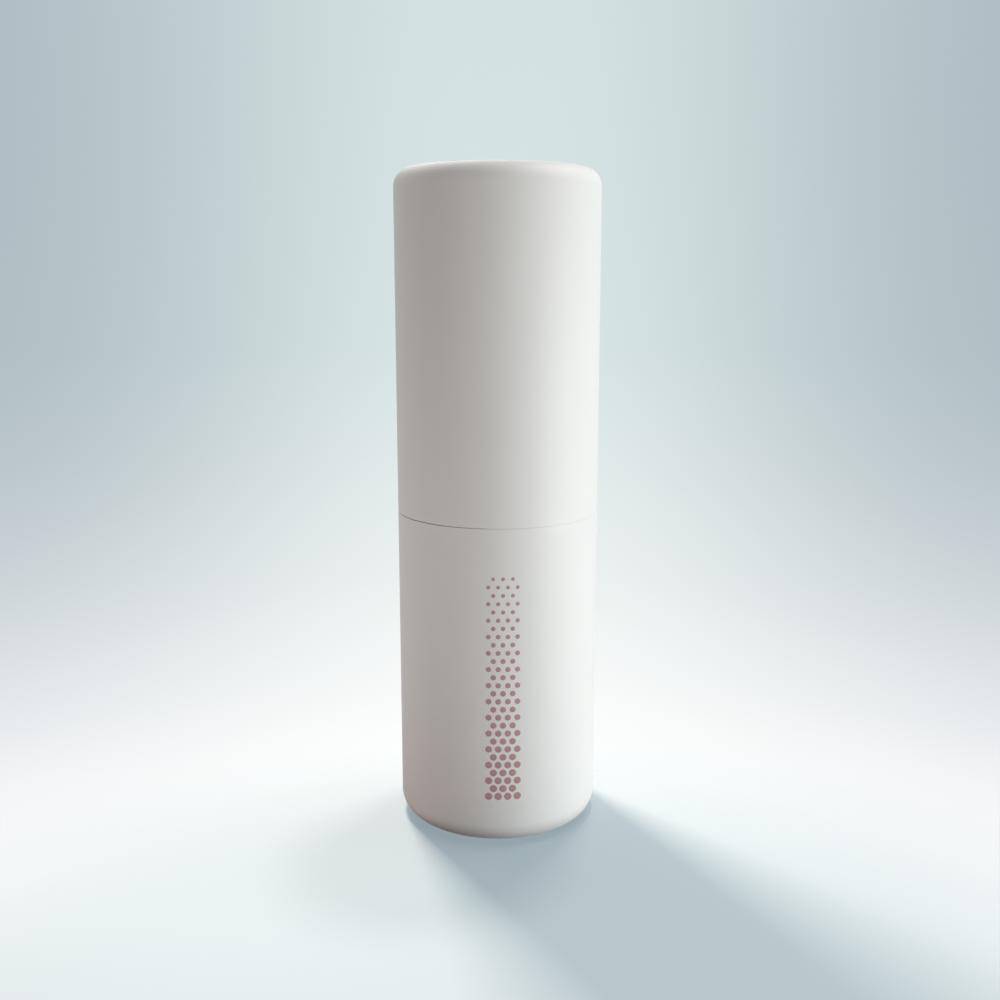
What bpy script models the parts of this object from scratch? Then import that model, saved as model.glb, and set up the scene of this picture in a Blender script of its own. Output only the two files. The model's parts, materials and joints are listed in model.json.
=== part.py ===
"""Twist-up highlighter stick in a white satin case.

The case stands upright: a base with the lifting mechanism in it, and a pull-off cap of nearly
the same height. Turning the collar against the base drives two lugs up a pair of helical slots,
so the carrier cup climbs and pushes the stick out of the collar.

Every radius is built outward from the stick, and every height upward from the foot, as the real
case is laid out. Lengths are in metres, +Z is up, and the origin is the centre of the foot.
"""

import math

import bmesh
import bpy
from mathutils import Matrix

# Clearances
PRESS_GAP = 0.00010
RUN_GAP = 0.00015
SEAM_GAP = 0.00012

# Highlighter stick
STICK_RADIUS = 0.0059
STICK_END_CHAMFER = 0.0004
TIP_INSET = 0.0009
TIP_DOME_HEIGHT = 0.0040
TIP_CREST_WIDTH = 0.0012
TIP_SLOPE = math.radians(42)

# Carrier cup
CUP_HEIGHT = 0.0095
CUP_WALL = 0.0004
CUP_FLOOR = 0.0009
CUP_VENT_RADIUS = 0.0014
CUP_RIB_HEIGHT = 0.0002
CUP_RIB_WIDTH = 0.0006
CUP_RIB_SETBACK = 0.0008
CUP_RIB_COUNT = 6
LUG_RADIUS = 0.0011
LUG_SIDES = 16

# Slotted tube
TUBE_WALL = 0.0007
TUBE_FLOOR = 0.00115
CUP_REST_GAP = 0.0003
BOSS_STEP = 0.00085
BOSS_HEIGHT = 0.0028
SPLINE_HEIGHT = 0.00025
SPLINE_WIDTH = 0.0009
SPLINE_SETBACK = 0.0004
SPLINE_COUNT = 12
FLANGE_STEP = 0.0006
FLANGE_THICKNESS = 0.0005

# Drag ring
RING_SECTION_RADIUS = 0.00035

# Cam sleeve
CAM_WALL = 0.00085
CAM_END_BAND = 0.0008
POCKET_RELIEF = 0.00012
TRAVEL = 0.0245
TURNS = 1.5

# Collar sleeve
SLEEVE_WALL = 0.00035
SLEEVE_EDGE_ROUND = 0.00030
LIP_SETBACK = 0.00010
CUP_INSET = 0.0009
COLLAR_RISE = 0.0089

# Liners
GRIP_GAP = 0.00030
LINER_WALL = 0.00055
LINER_FLOOR = 0.0011
LINER_ROOF = 0.0009
LINER_INSET = 0.0005
LAND_HEIGHT = 0.0012
GRIP_RIB_WIDTH = 0.0008
GRIP_RIB_LENGTH = 0.0060
GRIP_RIB_SETBACK = 0.0008
GRIP_RIB_COUNT = 6
TIP_ROOF_GAP = 0.0008

# Base weight
WEIGHT_HEIGHT = 0.0036
WEIGHT_BORE_RADIUS = 0.0020

# Shells
SHELL_WALL = 0.00095
SHELL_FLOOR = 0.0014
SHELL_ROOF = 0.0015
FOOT_FILLET = 0.0023
CROWN_FILLET = 0.0019
INNER_FILLET = 0.0012
REST_RING_WIDTH = 0.0013
FOOT_RECESS_DEPTH = 0.00035

# Edge breaks and facets
EDGE_BREAK = 0.00020
FACETS = 48
SHELL_FACETS = 64
HELIX_STEPS = 24
RING_SIDES = 6
FILLET_STEPS = 4
INNER_STEPS = 3
DOME_STEPS = 9
SMOOTH_ANGLE = math.radians(32)
FULL_TURN = 2 * math.pi

# Radii, outward from the stick
CUP_RIB_TIP = STICK_RADIUS + PRESS_GAP
CUP_INNER = CUP_RIB_TIP + CUP_RIB_HEIGHT
CUP_OUTER = CUP_INNER + CUP_WALL
TUBE_INNER = CUP_OUTER + RUN_GAP
TUBE_OUTER = TUBE_INNER + TUBE_WALL
CAM_INNER = TUBE_OUTER + RUN_GAP
CAM_OUTER = CAM_INNER + CAM_WALL
SLEEVE_INNER = CAM_OUTER + PRESS_GAP
SLEEVE_OUTER = SLEEVE_INNER + SLEEVE_WALL
LINER_INNER = SLEEVE_OUTER + GRIP_GAP
LINER_OUTER = LINER_INNER + LINER_WALL
SHELL_INNER = LINER_OUTER + PRESS_GAP
SHELL_OUTER = SHELL_INNER + SHELL_WALL
BOSS_RADIUS = TUBE_OUTER + BOSS_STEP
SOCKET_INNER = BOSS_RADIUS + SPLINE_HEIGHT + PRESS_GAP

# Heights, upward from the foot
SHELL_FLOOR_TOP = FOOT_RECESS_DEPTH + SHELL_FLOOR
WEIGHT_BOTTOM = SHELL_FLOOR_TOP + PRESS_GAP
BASE_LINER_BOTTOM = WEIGHT_BOTTOM + WEIGHT_HEIGHT + PRESS_GAP
TUBE_BOTTOM = BASE_LINER_BOTTOM + LINER_FLOOR + PRESS_GAP
BOSS_TOP = TUBE_BOTTOM + BOSS_HEIGHT
RING_CENTRE = BOSS_TOP + PRESS_GAP + RING_SECTION_RADIUS
CAM_BOTTOM = RING_CENTRE + RING_SECTION_RADIUS + PRESS_GAP
CUP_BOTTOM = TUBE_BOTTOM + TUBE_FLOOR + CUP_REST_GAP
CUP_RAISED_TOP = CUP_BOTTOM + CUP_HEIGHT + TRAVEL
COLLAR_TOP = CUP_RAISED_TOP + CUP_INSET
LIP_UNDERSIDE = COLLAR_TOP - SLEEVE_WALL
TUBE_TOP = LIP_UNDERSIDE - RUN_GAP
CAM_TOP = TUBE_TOP - FLANGE_THICKNESS - RUN_GAP
SEAM = COLLAR_TOP - COLLAR_RISE
BASE_RIM = SEAM - SEAM_GAP / 2
CAP_MOUTH = SEAM + SEAM_GAP / 2
STICK_BOTTOM = CUP_BOTTOM + CUP_FLOOR + PRESS_GAP
STICK_TIP = COLLAR_TOP - TIP_INSET
LINER_ROOF_UNDERSIDE = STICK_TIP + TRAVEL + TIP_ROOF_GAP
CAP_LINER_TOP = LINER_ROOF_UNDERSIDE + LINER_ROOF
CAP_ROOF_UNDERSIDE = CAP_LINER_TOP + PRESS_GAP
CROWN = CAP_ROOF_UNDERSIDE + SHELL_ROOF

# Lugs and the slots that they run in
SLOT_HALF_WIDTH = LUG_RADIUS + RUN_GAP
POCKET_RADIUS = SLOT_HALF_WIDTH + POCKET_RELIEF
LUG_REST = CAM_BOTTOM + CAM_END_BAND + POCKET_RADIUS
LUG_TIP = CAM_OUTER - RUN_GAP
LEAD = TRAVEL / TURNS


def clear_scene():
    for found in list(bpy.data.objects):
        bpy.data.objects.remove(found)
    for found in list(bpy.data.collections):
        bpy.data.collections.remove(found)


def new_collection(name):
    made = bpy.data.collections.new(name)
    bpy.context.scene.collection.children.link(made)
    return made


def finish_of(name, colour, roughness, metallic=0.0):
    """A Principled surface with one colour."""
    made = bpy.data.materials.new(name)
    made.use_nodes = True
    surface = made.node_tree.nodes["Principled BSDF"]
    surface.inputs["Base Color"].default_value = (*colour, 1)
    surface.inputs["Roughness"].default_value = roughness
    surface.inputs["Metallic"].default_value = metallic
    return made


def moving_group(name, collection, parent=None):
    """An empty on the stick's axis that carries the pieces of one moving body."""
    made = bpy.data.objects.new(name, None)
    made.parent = parent
    collection.objects.link(made)
    return made


def add_piece(name, mesh, group, height, finish):
    """Puts a mesh on the axis at a height, in its body's group."""
    made = bpy.data.objects.new(name, mesh)
    made.parent = group
    made.location.z = height
    made.data.materials.append(finish)
    group.users_collection[0].objects.link(made)
    return made


def add_cutter(name, mesh, height=0.0):
    """A shape that only cuts or joins another piece."""
    made = bpy.data.objects.new(name, mesh)
    made.location.z = height
    made.hide_render = True
    made.display_type = "WIRE"
    bpy.data.collections["cutters"].objects.link(made)
    return made


def arc(centre_radius, centre_height, radius, start, end, steps=FILLET_STEPS):
    """Points of a round edge, with angles in degrees from the +radius direction."""
    angles = [math.radians(start + (end - start) * i / steps) for i in range(steps + 1)]
    return [(centre_radius + radius * math.cos(a), centre_height + radius * math.sin(a)) for a in angles]


def turned(name, profile, group, height, finish, facets=FACETS, closed=False):
    """A piece turned about Z. The profile's (radius, height) points run down its outer side.

    The piece is set a quarter of a facet round, so that no lug or slot starts on a facet's edge.
    """
    mesh = bpy.data.meshes.new(name)
    outline = bmesh.new()
    points = [outline.verts.new((radius, 0, z)) for radius, z in profile]
    for pair in zip(points, points[1:]):
        outline.edges.new(pair)
    if closed:
        outline.edges.new((points[-1], points[0]))
    outline.to_mesh(mesh)
    outline.free()
    made = add_piece(name, mesh, group, height, finish)
    made.rotation_euler.z = FULL_TURN / facets / 4
    screw = made.modifiers.new("turn", "SCREW")
    screw.angle = FULL_TURN
    screw.steps = facets
    screw.render_steps = facets
    screw.use_merge_vertices = True
    screw.merge_threshold = 0.000001
    return made


def change_by(piece, other, operation):
    """Cuts the piece by the other shape, or joins the two."""
    change = piece.modifiers.new(other.name, "BOOLEAN")
    change.operation = operation
    change.object = other


def settle(piece):
    """Keeps the evaluated mesh, smooth on its round faces and sharp at its edges."""
    bpy.context.view_layer.update()
    graph = bpy.context.evaluated_depsgraph_get()
    mesh = bpy.data.meshes.new_from_object(piece.evaluated_get(graph))
    piece.modifiers.clear()
    piece.data = mesh
    mesh.shade_smooth()
    mesh.set_sharp_from_angle(angle=SMOOTH_ANGLE)


def about_z(angle):
    return Matrix.Rotation(angle, 4, "Z")


def block_mesh(name, places):
    """One block for each place, which is a matrix that stretches and sets a unit cube."""
    mesh = bpy.data.meshes.new(name)
    blocks = bmesh.new()
    for place in places:
        bmesh.ops.create_cube(blocks, size=1, matrix=place)
    blocks.to_mesh(mesh)
    blocks.free()
    return mesh


def radial_blocks(name, count, inner, outer, width, bottom, top):
    """Blocks round the axis: ribs in a bore, or splines on a boss."""
    size = Matrix.Diagonal((outer - inner, width, top - bottom, 1))
    stand = Matrix.Translation(((inner + outer) / 2, 0, (bottom + top) / 2)) @ size
    return block_mesh(name, [about_z(FULL_TURN * (i + 0.5) / count) @ stand for i in range(count)])


def cross_pins(name, radius, inner, outer, turn=0.0):
    """Two round pins along one diameter, on either side of the axis."""
    mesh = bpy.data.meshes.new(name)
    pins = bmesh.new()
    for side in (0, math.pi):
        middle = Matrix.Translation(((inner + outer) / 2, 0, 0)) @ Matrix.Rotation(math.pi / 2, 4, "Y")
        bmesh.ops.create_cone(
            pins,
            cap_ends=True,
            segments=LUG_SIDES,
            radius1=radius,
            radius2=radius,
            depth=outer - inner,
            matrix=about_z(turn + side) @ middle,
        )
    pins.to_mesh(mesh)
    pins.free()
    return mesh


def helical_bar(name, inner, outer, thickness, start, turn, rise):
    """A rectangle swept round the axis and upward, for cutting a helical slot."""
    mesh = bpy.data.meshes.new(name)
    bar = bmesh.new()
    upright = Matrix.Rotation(math.pi / 2, 4, "X") @ Matrix.Diagonal((outer - inner, thickness, 1, 1))
    place = about_z(start) @ Matrix.Translation(((inner + outer) / 2, 0, 0)) @ upright
    bmesh.ops.create_grid(bar, x_segments=1, y_segments=1, size=0.5, matrix=place)
    steps = round(HELIX_STEPS * turn / FULL_TURN)
    section = bar.faces[:] + bar.edges[:] + bar.verts[:]
    step_up = (0, 0, rise / steps)
    bmesh.ops.spin(bar, geom=section, axis=(0, 0, 1), angle=turn, dvec=step_up, steps=steps)
    bmesh.ops.recalc_face_normals(bar, faces=bar.faces)
    bar.to_mesh(mesh)
    bar.free()
    return mesh


def stadium_bar(name, half_width, bottom, top, half_length):
    """A bar along X with a round-ended outline, upright from bottom to top."""
    sides = LUG_SIDES // 2
    upper = [math.pi * i / sides for i in range(sides + 1)]
    lower = [math.pi + a for a in upper]
    outline = [(half_width * math.cos(a), top + half_width * math.sin(a)) for a in upper]
    outline += [(half_width * math.cos(a), bottom + half_width * math.sin(a)) for a in lower]
    curve = bpy.data.curves.new(name, "CURVE")
    curve.dimensions = "2D"
    curve.fill_mode = "BOTH"
    curve.extrude = half_length
    spline = curve.splines.new("POLY")
    spline.points.add(len(outline) - 1)
    for point, (x, y) in zip(spline.points, outline):
        point.co = (x, y, 0, 1)
    spline.use_cyclic_u = True
    drawn = bpy.data.objects.new(name, curve)
    bpy.context.scene.collection.objects.link(drawn)
    bpy.context.view_layer.update()
    graph = bpy.context.evaluated_depsgraph_get()
    mesh = bpy.data.meshes.new_from_object(drawn.evaluated_get(graph))
    bpy.data.objects.remove(drawn)
    welded = bmesh.new()
    welded.from_mesh(mesh)
    bmesh.ops.remove_doubles(welded, verts=welded.verts, dist=0.000001)
    upright = about_z(math.pi / 2) @ Matrix.Rotation(math.pi / 2, 4, "X")
    bmesh.ops.transform(welded, matrix=upright, verts=welded.verts)
    bmesh.ops.recalc_face_normals(welded, faces=welded.faces)
    welded.to_mesh(mesh)
    welded.free()
    return mesh


def base_shell(group, finish):
    """Outer base: one cup with a rounded foot and a shallow recess under it."""
    recess = SHELL_OUTER - FOOT_FILLET - REST_RING_WIDTH
    corner = SHELL_INNER - INNER_FILLET
    profile = [(0, SHELL_FLOOR_TOP)]
    profile += arc(corner, SHELL_FLOOR_TOP + INNER_FILLET, INNER_FILLET, -90, 0, INNER_STEPS)
    profile += [(SHELL_INNER, BASE_RIM - EDGE_BREAK), (SHELL_INNER + EDGE_BREAK, BASE_RIM)]
    profile += [(SHELL_OUTER, BASE_RIM)]
    profile += arc(SHELL_OUTER - FOOT_FILLET, FOOT_FILLET, FOOT_FILLET, 0, -90)
    profile += [(recess, 0), (recess - EDGE_BREAK, FOOT_RECESS_DEPTH), (0, FOOT_RECESS_DEPTH)]
    return turned("base_shell", profile, group, 0, finish, SHELL_FACETS)


def base_weight(group, finish):
    """Steel slug that gives the base its heft. Its lower edge clears the shell's inner fillet."""
    outer = SHELL_INNER - RUN_GAP
    profile = [
        (WEIGHT_BORE_RADIUS, WEIGHT_HEIGHT),
        (outer - EDGE_BREAK, WEIGHT_HEIGHT),
        (outer, WEIGHT_HEIGHT - EDGE_BREAK),
        (outer, INNER_FILLET),
        (outer - INNER_FILLET, 0),
        (WEIGHT_BORE_RADIUS, 0),
    ]
    return turned("base_weight", profile, group, WEIGHT_BOTTOM, finish, closed=True)


def base_liner(group, finish):
    """Inner base: a socket for the tube's boss, and a land at the mouth that centres the collar."""
    top = BASE_RIM - LINER_INSET - BASE_LINER_BOTTOM
    socket_top = BOSS_TOP - BASE_LINER_BOTTOM
    land = SLEEVE_OUTER + RUN_GAP
    step = LINER_INNER - land
    profile = [
        (0, LINER_FLOOR),
        (SOCKET_INNER, LINER_FLOOR),
        (SOCKET_INNER, socket_top - EDGE_BREAK),
        (SOCKET_INNER + EDGE_BREAK, socket_top),
        (LINER_INNER, socket_top),
        (LINER_INNER, top - LAND_HEIGHT - step),
        (land, top - LAND_HEIGHT),
        (land, top - EDGE_BREAK),
        (land + EDGE_BREAK, top),
        (LINER_OUTER, top),
        (LINER_OUTER, EDGE_BREAK),
        (LINER_OUTER - EDGE_BREAK, 0),
        (0, 0),
    ]
    return turned("base_liner", profile, group, BASE_LINER_BOTTOM, finish)


def slotted_tube(group, finish):
    """Inner body of the mechanism: a splined boss, two upright slots and a top flange."""
    top = TUBE_TOP - TUBE_BOTTOM
    flange = TUBE_OUTER + FLANGE_STEP
    profile = [
        (0, TUBE_FLOOR),
        (TUBE_INNER, TUBE_FLOOR),
        (TUBE_INNER, top - EDGE_BREAK),
        (TUBE_INNER + EDGE_BREAK, top),
        (flange, top),
        (flange, top - FLANGE_THICKNESS),
        (TUBE_OUTER, top - FLANGE_THICKNESS),
        (TUBE_OUTER, BOSS_HEIGHT),
        (BOSS_RADIUS, BOSS_HEIGHT),
        (BOSS_RADIUS, EDGE_BREAK),
        (BOSS_RADIUS - EDGE_BREAK, 0),
        (0, 0),
    ]
    tube = turned("slotted_tube", profile, group, TUBE_BOTTOM, finish)
    splines = radial_blocks(
        "boss_splines",
        SPLINE_COUNT,
        BOSS_RADIUS - EDGE_BREAK,
        BOSS_RADIUS + SPLINE_HEIGHT,
        SPLINE_WIDTH,
        SPLINE_SETBACK,
        BOSS_HEIGHT - SPLINE_SETBACK,
    )
    slot = stadium_bar("upright_slots", SLOT_HALF_WIDTH, LUG_REST, LUG_REST + TRAVEL, BOSS_RADIUS)
    change_by(tube, add_cutter("boss_splines", splines, TUBE_BOTTOM), "UNION")
    change_by(tube, add_cutter("upright_slots", slot), "DIFFERENCE")
    return tube


def drag_ring(group, finish):
    """Silicone ring between the boss and the cam. Its drag makes the twist smooth and keeps it put."""
    bpy.ops.mesh.primitive_torus_add(
        major_radius=(CAM_INNER + CAM_OUTER) / 2,
        minor_radius=RING_SECTION_RADIUS,
        major_segments=FACETS,
        minor_segments=RING_SIDES,
    )
    drawn = bpy.context.active_object
    ring = add_piece("drag_ring", drawn.data, group, RING_CENTRE, finish)
    bpy.data.objects.remove(drawn)
    return ring


def cam_sleeve(group, finish):
    """Sleeve with two helical slots, each with a round pocket where the lug comes to rest."""
    top = CAM_TOP - CAM_BOTTOM
    profile = [
        (CAM_INNER + EDGE_BREAK, top),
        (CAM_OUTER - EDGE_BREAK, top),
        (CAM_OUTER, top - EDGE_BREAK),
        (CAM_OUTER, EDGE_BREAK),
        (CAM_OUTER - EDGE_BREAK, 0),
        (CAM_INNER + EDGE_BREAK, 0),
        (CAM_INNER, EDGE_BREAK),
        (CAM_INNER, top - EDGE_BREAK),
    ]
    cam = turned("cam_sleeve", profile, group, CAM_BOTTOM, finish, closed=True)
    steepest = math.atan(LEAD / (FULL_TURN * CAM_INNER))
    thickness = 2 * SLOT_HALF_WIDTH / math.cos(steepest)
    inner = CAM_INNER - CAM_WALL / 2
    outer = CAM_OUTER + CAM_WALL / 2
    for i in range(2):
        name = f"helical_slot_{i + 1}"
        bar = helical_bar(name, inner, outer, thickness, math.pi * i, FULL_TURN * TURNS, TRAVEL)
        change_by(cam, add_cutter(name, bar, LUG_REST), "DIFFERENCE")
    for name, turn, height in (("lower_pockets", 0, 0), ("upper_pockets", FULL_TURN * TURNS, TRAVEL)):
        pockets = cross_pins(name, POCKET_RADIUS, inner, outer, turn)
        change_by(cam, add_cutter(name, pockets, LUG_REST + height), "DIFFERENCE")
    return cam


def collar_sleeve(group, finish):
    """Metal sleeve pressed over the cam. Its lip turns in over the end of the slotted tube."""
    top = COLLAR_TOP - CAM_BOTTOM
    lip = TUBE_INNER + LIP_SETBACK
    corner = SLEEVE_OUTER - SLEEVE_EDGE_ROUND
    hem = SLEEVE_WALL / 2
    profile = arc(lip + hem, top - hem, hem, 180, 90, INNER_STEPS)
    profile += arc(corner, top - SLEEVE_EDGE_ROUND, SLEEVE_EDGE_ROUND, 90, 0, INNER_STEPS)
    profile += [(SLEEVE_OUTER, 0), (SLEEVE_INNER, 0)]
    profile += [(SLEEVE_INNER, top - SLEEVE_WALL), (lip, top - SLEEVE_WALL)]
    return turned("collar_sleeve", profile, group, CAM_BOTTOM, finish, closed=True)


def carrier_cup(group, finish):
    """Cup that holds the stick: grip ribs inside, a vent in its floor and two driving lugs."""
    profile = [
        (CUP_INNER + EDGE_BREAK, CUP_HEIGHT),
        (CUP_OUTER - EDGE_BREAK / 2, CUP_HEIGHT),
        (CUP_OUTER, CUP_HEIGHT - EDGE_BREAK),
        (CUP_OUTER, EDGE_BREAK),
        (CUP_OUTER - EDGE_BREAK, 0),
        (CUP_VENT_RADIUS, 0),
        (CUP_VENT_RADIUS, CUP_FLOOR),
        (CUP_INNER, CUP_FLOOR),
        (CUP_INNER, CUP_HEIGHT - EDGE_BREAK),
    ]
    cup = turned("carrier_cup", profile, group, CUP_BOTTOM, finish, closed=True)
    middle = (CUP_INNER + CUP_OUTER) / 2
    ribs = radial_blocks(
        "cup_ribs",
        CUP_RIB_COUNT,
        CUP_RIB_TIP,
        middle,
        CUP_RIB_WIDTH,
        CUP_FLOOR / 2,
        CUP_HEIGHT - CUP_RIB_SETBACK,
    )
    lugs = cross_pins("cup_lugs", LUG_RADIUS, middle, LUG_TIP)
    change_by(cup, add_cutter("cup_ribs", ribs, CUP_BOTTOM), "UNION")
    change_by(cup, add_cutter("cup_lugs", lugs, LUG_REST), "UNION")
    return cup


def highlighter_stick(group, finish):
    """Moulded stick with a domed end, cut by one slope that leaves a narrow crest."""
    shoulder = STICK_TIP - STICK_BOTTOM - TIP_DOME_HEIGHT
    angles = [math.pi / 2 * i / DOME_STEPS for i in range(DOME_STEPS + 1)]
    profile = [(STICK_RADIUS * math.sin(a), shoulder + TIP_DOME_HEIGHT * math.cos(a)) for a in angles]
    profile += [(STICK_RADIUS, STICK_END_CHAMFER), (STICK_RADIUS - STICK_END_CHAMFER, 0), (0, 0)]
    stick = turned("highlighter_stick", profile, group, STICK_BOTTOM, finish)
    span = 4 * STICK_RADIUS
    above = Matrix.Translation((0, -span / 2, span / 2)) @ Matrix.Diagonal((span, span, span, 1))
    crest = Matrix.Translation((0, -TIP_CREST_WIDTH / 2, 0)) @ Matrix.Rotation(TIP_SLOPE, 4, "X")
    slope = block_mesh("tip_slope", [crest @ above])
    change_by(stick, add_cutter("tip_slope", slope, STICK_TIP), "DIFFERENCE")
    return stick


def cap_liner(group, finish):
    """Inner cap: a thin cup with grip ribs at its mouth, which hold the cap on the collar."""
    bottom = CAP_MOUTH + LINER_INSET
    top = CAP_LINER_TOP - bottom
    roof = LINER_ROOF_UNDERSIDE - bottom
    corner = INNER_FILLET - LINER_WALL
    profile = [(0, top)]
    profile += arc(LINER_OUTER - INNER_FILLET, top - INNER_FILLET, INNER_FILLET, 90, 0, INNER_STEPS)
    profile += [(LINER_OUTER, EDGE_BREAK), (LINER_OUTER - EDGE_BREAK, 0)]
    profile += [(LINER_INNER + EDGE_BREAK, 0), (LINER_INNER, EDGE_BREAK)]
    profile += arc(LINER_INNER - corner, roof - corner, corner, 0, 90, INNER_STEPS)
    profile += [(0, roof)]
    liner = turned("cap_liner", profile, group, bottom, finish)
    ribs = radial_blocks(
        "grip_ribs",
        GRIP_RIB_COUNT,
        SLEEVE_OUTER + RUN_GAP,
        (LINER_INNER + LINER_OUTER) / 2,
        GRIP_RIB_WIDTH,
        GRIP_RIB_SETBACK,
        GRIP_RIB_SETBACK + GRIP_RIB_LENGTH,
    )
    change_by(liner, add_cutter("grip_ribs", ribs, bottom), "UNION")
    return liner


def cap_shell(group, finish):
    """Outer cap: a straight-sided cup with a rounded crown."""
    top = CROWN - CAP_MOUTH
    roof = CAP_ROOF_UNDERSIDE - CAP_MOUTH
    profile = [(0, top)]
    profile += arc(SHELL_OUTER - CROWN_FILLET, top - CROWN_FILLET, CROWN_FILLET, 90, 0)
    profile += [(SHELL_OUTER, 0), (SHELL_INNER + EDGE_BREAK, 0), (SHELL_INNER, EDGE_BREAK)]
    profile += arc(SHELL_INNER - INNER_FILLET, roof - INNER_FILLET, INNER_FILLET, 0, 90, INNER_STEPS)
    profile += [(0, roof)]
    return turned("cap_shell", profile, group, CAP_MOUTH, finish, SHELL_FACETS)


def build():
    clear_scene()
    parts = new_collection("highlighter_stick_case")
    new_collection("cutters")
    base = moving_group("base", parts)
    collar = moving_group("collar", parts, base)
    carrier = moving_group("carrier", parts, base)
    cap = moving_group("cap", parts, collar)

    satin = finish_of("satin_white", (0.86, 0.86, 0.85), 0.42)
    liner = finish_of("natural_white", (0.83, 0.83, 0.80), 0.35)
    metal = finish_of("satin_aluminium", (0.78, 0.78, 0.79), 0.28, 1.0)
    acetal = finish_of("white_acetal", (0.88, 0.88, 0.86), 0.30)
    steel = finish_of("zinc_steel", (0.55, 0.56, 0.57), 0.40, 1.0)
    silicone = finish_of("clear_silicone", (0.72, 0.74, 0.74), 0.25)
    balm = finish_of("champagne_balm", (0.86, 0.66, 0.56), 0.32)

    pieces = [
        base_shell(base, satin),
        base_weight(base, steel),
        base_liner(base, liner),
        slotted_tube(base, acetal),
        drag_ring(base, silicone),
        cam_sleeve(collar, acetal),
        collar_sleeve(collar, metal),
        carrier_cup(carrier, acetal),
        highlighter_stick(carrier, balm),
        cap_liner(cap, liner),
        cap_shell(cap, satin),
    ]
    for piece in pieces:
        settle(piece)
    print(f"overall {2000 * SHELL_OUTER:.2f} mm across and {1000 * CROWN:.2f} mm tall")
    print(f"seam at {1000 * SEAM:.2f} mm, collar top at {1000 * COLLAR_TOP:.2f} mm")
    print(f"stick tip at {1000 * STICK_TIP:.2f} mm, helix lead {1000 * LEAD:.3f} mm a turn")


build()
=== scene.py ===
# %% [markdown]
# A highlighter stick in its closed case
#
# The object is a twist-up stick: a white satin base and cap, and inside them an aluminium collar,
# a slotted tube, a cam, a cup and the pearl balm itself. The solids that work are already made and
# packed. This lesson dresses them: it turns finer shapes in the same places, gives every piece its
# finish, and lights the case on a pale floor the way the photograph does.

# %% Load the frame
import json
import math

import bmesh
import bpy
from mathutils import Matrix, Vector


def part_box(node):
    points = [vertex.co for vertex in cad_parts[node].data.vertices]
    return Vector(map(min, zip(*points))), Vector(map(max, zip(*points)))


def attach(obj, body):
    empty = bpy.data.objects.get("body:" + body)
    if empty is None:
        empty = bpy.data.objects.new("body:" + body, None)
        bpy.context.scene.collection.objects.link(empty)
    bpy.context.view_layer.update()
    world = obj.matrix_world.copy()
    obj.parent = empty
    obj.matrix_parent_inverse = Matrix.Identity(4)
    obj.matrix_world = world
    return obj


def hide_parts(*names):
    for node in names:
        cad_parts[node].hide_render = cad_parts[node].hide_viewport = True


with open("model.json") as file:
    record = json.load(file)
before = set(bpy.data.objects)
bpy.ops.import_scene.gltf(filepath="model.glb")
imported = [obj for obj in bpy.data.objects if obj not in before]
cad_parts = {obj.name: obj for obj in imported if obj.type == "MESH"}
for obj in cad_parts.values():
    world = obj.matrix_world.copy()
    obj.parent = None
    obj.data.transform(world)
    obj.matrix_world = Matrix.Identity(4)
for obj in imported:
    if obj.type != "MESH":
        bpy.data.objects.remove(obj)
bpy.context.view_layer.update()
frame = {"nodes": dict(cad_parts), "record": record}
FULL_TURN = 2 * math.pi
MM = 0.001

# %% [markdown]
# The camera
#
# The photograph looks slightly down on a case that stands upright, from close by, so its sides
# draw together a little towards the foot. A camera set close, pitched down and with no shift
# gives the same drawing together. The place and the lens were found by fitting the outline of a
# plain cylinder to the outline of the case.

# %% Set the camera
CAMERA_PLACE = Vector((0.253, -125.97, 58.99)) * MM
CAMERA_PITCH = math.radians(-10.73)
LENS_MM = 42.415

lens = bpy.data.cameras.new("camera")
lens.lens = LENS_MM
lens.sensor_width = 36
lens.clip_start = 5 * MM
lens.clip_end = 20
camera = bpy.data.objects.new("camera", lens)
camera.location = CAMERA_PLACE
camera.rotation_euler = (math.pi / 2 + CAMERA_PITCH, 0, 0)
bpy.context.scene.collection.objects.link(camera)
bpy.context.scene.camera = camera
bpy.context.scene.view_settings.view_transform = "Standard"
print(f"camera {-CAMERA_PLACE.y / MM:.0f} mm in front of the case, {LENS_MM} mm lens")

# %% [markdown]
# Reading sizes from the frame
#
# Each fine piece has to sit exactly where its solid is. So the ends of every piece, and the radii
# of the shells and the linings, are read from the solids by two questions: how high are its ends,
# and how far from the axis are its points between two heights? The sizes further in, such as the
# wall of the tube, are named here with the values that the part's source gives them.

# %% Ask a solid for its radii
def radii(node, low, high):
    """Least and greatest distance from the axis among a node's points between two heights."""
    points = [v.co for v in frame["nodes"][node].data.vertices if low <= v.co.z <= high]
    reach = [point.xy.length for point in points]
    return min(reach), max(reach)


base_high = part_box("base_shell")[1]
cap_low, cap_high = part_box("cap_shell")
RIM = base_high.z
MOUTH = cap_low.z
CROWN = cap_high.z
SEAM = (RIM + MOUTH) / 2
WALL_IN = radii("base_shell", RIM / 2, RIM - 0.1 * MM)[0]
print(f"seam at {SEAM / MM:.2f} mm, crown at {CROWN / MM:.2f} mm, shell bore {WALL_IN / MM:.2f} mm")

# %% [markdown]
# Turning a profile
#
# Nearly every part of this case was moulded or drawn round, so one tool makes them all: a list
# of corners, each with its radius, its height and how much it is rounded, is spun about Z. A
# corner becomes an arc. Beside each arc goes one more point on the straight wall, because smooth
# shading would otherwise bend the light over the whole wall and not only over the edge.

# %% Round the corners and spin them
FINE = 192
MEDIUM = 128
SUPPORT = 0.04 * MM
ARC_STEPS = 5
LENGTH_PER_STEP = 0.15 * MM
WELD = 0.0002 * MM


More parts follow.
